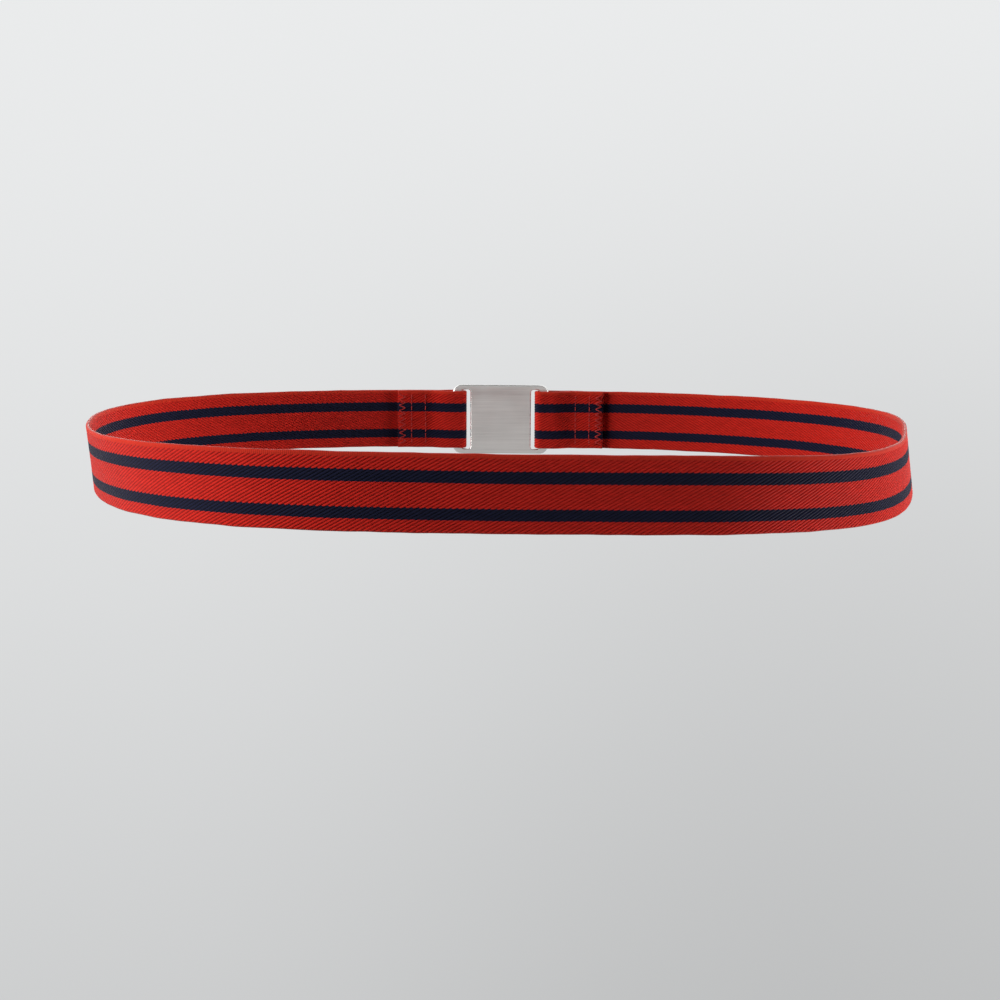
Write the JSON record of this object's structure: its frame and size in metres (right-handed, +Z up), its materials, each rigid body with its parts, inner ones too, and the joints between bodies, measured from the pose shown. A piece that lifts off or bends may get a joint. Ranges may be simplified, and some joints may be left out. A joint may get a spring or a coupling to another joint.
{
  "type": "skinny cinch belt",
  "caption": "Narrow striped elastic belt that cinches clothes at the waist or hips, in the closed oval that it takes when worn, with a plain flat clasp at the back.",
  "frame": {"origin": "middle of the hollow that the wearer's hips go through, halfway up the band", "axes": "+Z up the wearer, -Y towards the front of the body, +Y towards the clasp at the back, +X towards the wearer's left side"},
  "size_m": [0.3069, 0.2027, 0.0302],
  "materials": {
    "elastic": "red elastic webbing with a diagonal rib and two lengthwise navy stripes",
    "metal": "plain satin silver-coloured metal"
  },
  "bodies": {
    "root": {"band": "elastic", "clasp": "metal"}
  },
  "joints": []
}
